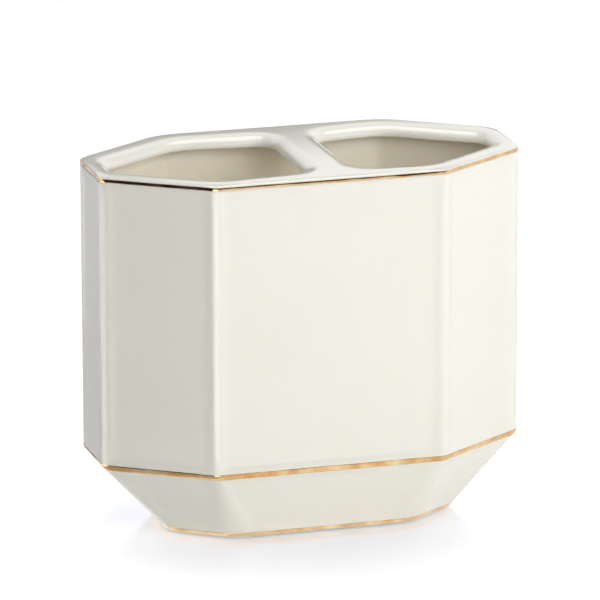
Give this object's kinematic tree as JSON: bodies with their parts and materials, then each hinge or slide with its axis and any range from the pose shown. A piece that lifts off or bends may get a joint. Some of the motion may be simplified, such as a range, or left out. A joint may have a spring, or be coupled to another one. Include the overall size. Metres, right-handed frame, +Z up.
{
  "type": "toothbrush holder",
  "caption": "Eight-sided porcelain toothbrush holder with a sloping foot, a bridged rim with open mouths, gold lustre lines and soft pads.",
  "frame": {"origin": "middle of the ground under the holder, level with the undersides of the pads", "axes": "+X along the length, front facing -Y, +Z up out of the mouths"},
  "size_m": [0.127, 0.064, 0.1092],
  "materials": {
    "glazed_porcelain": "ivory white glaze, glossy",
    "gold_lustre": "fired gold lustre, polished",
    "pad_rubber": "soft translucent white, satin"
  },
  "bodies": {
    "root": {"vessel_body": "glazed_porcelain", "rim_frame": "glazed_porcelain", "gold_rim_line": "gold_lustre", "gold_waist_line": "gold_lustre", "gold_foot_line": "gold_lustre", "pad_front_left": "pad_rubber", "pad_front_right": "pad_rubber", "pad_back_left": "pad_rubber", "pad_back_right": "pad_rubber"}
  },
  "joints": []
}
